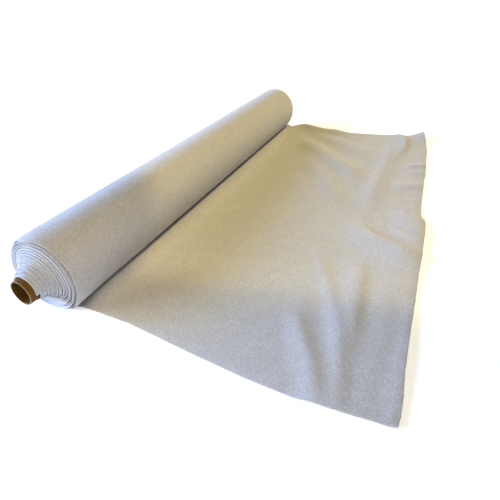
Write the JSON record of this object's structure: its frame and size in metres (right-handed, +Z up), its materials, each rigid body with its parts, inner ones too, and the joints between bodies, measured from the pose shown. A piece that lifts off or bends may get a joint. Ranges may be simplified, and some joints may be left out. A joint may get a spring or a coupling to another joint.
{
  "type": "roll of fusible fleece on a cardboard core, partly unrolled",
  "caption": "Wide roll of off-white fusible fleece wound on a cardboard core, one end telescoped outwards, its free end drawn out flat beside it.",
  "frame": {"origin": "centre of the flat spot under the roll, on the surface it lies on, halfway along the cloth's width", "axes": "+Y along the roll from its telescoped end to its far end, +X the way the free end is drawn out, +Z up"},
  "size_m": [0.7013, 1.1973, 0.1586],
  "materials": {
    "fleece": "matte needled fleece, slightly pebbled",
    "cardboard": "matte brown spiral-wound board"
  },
  "bodies": {
    "root": {"wound_roll": "fleece", "loose_end": "fleece", "core_tube": "cardboard"}
  },
  "joints": []
}
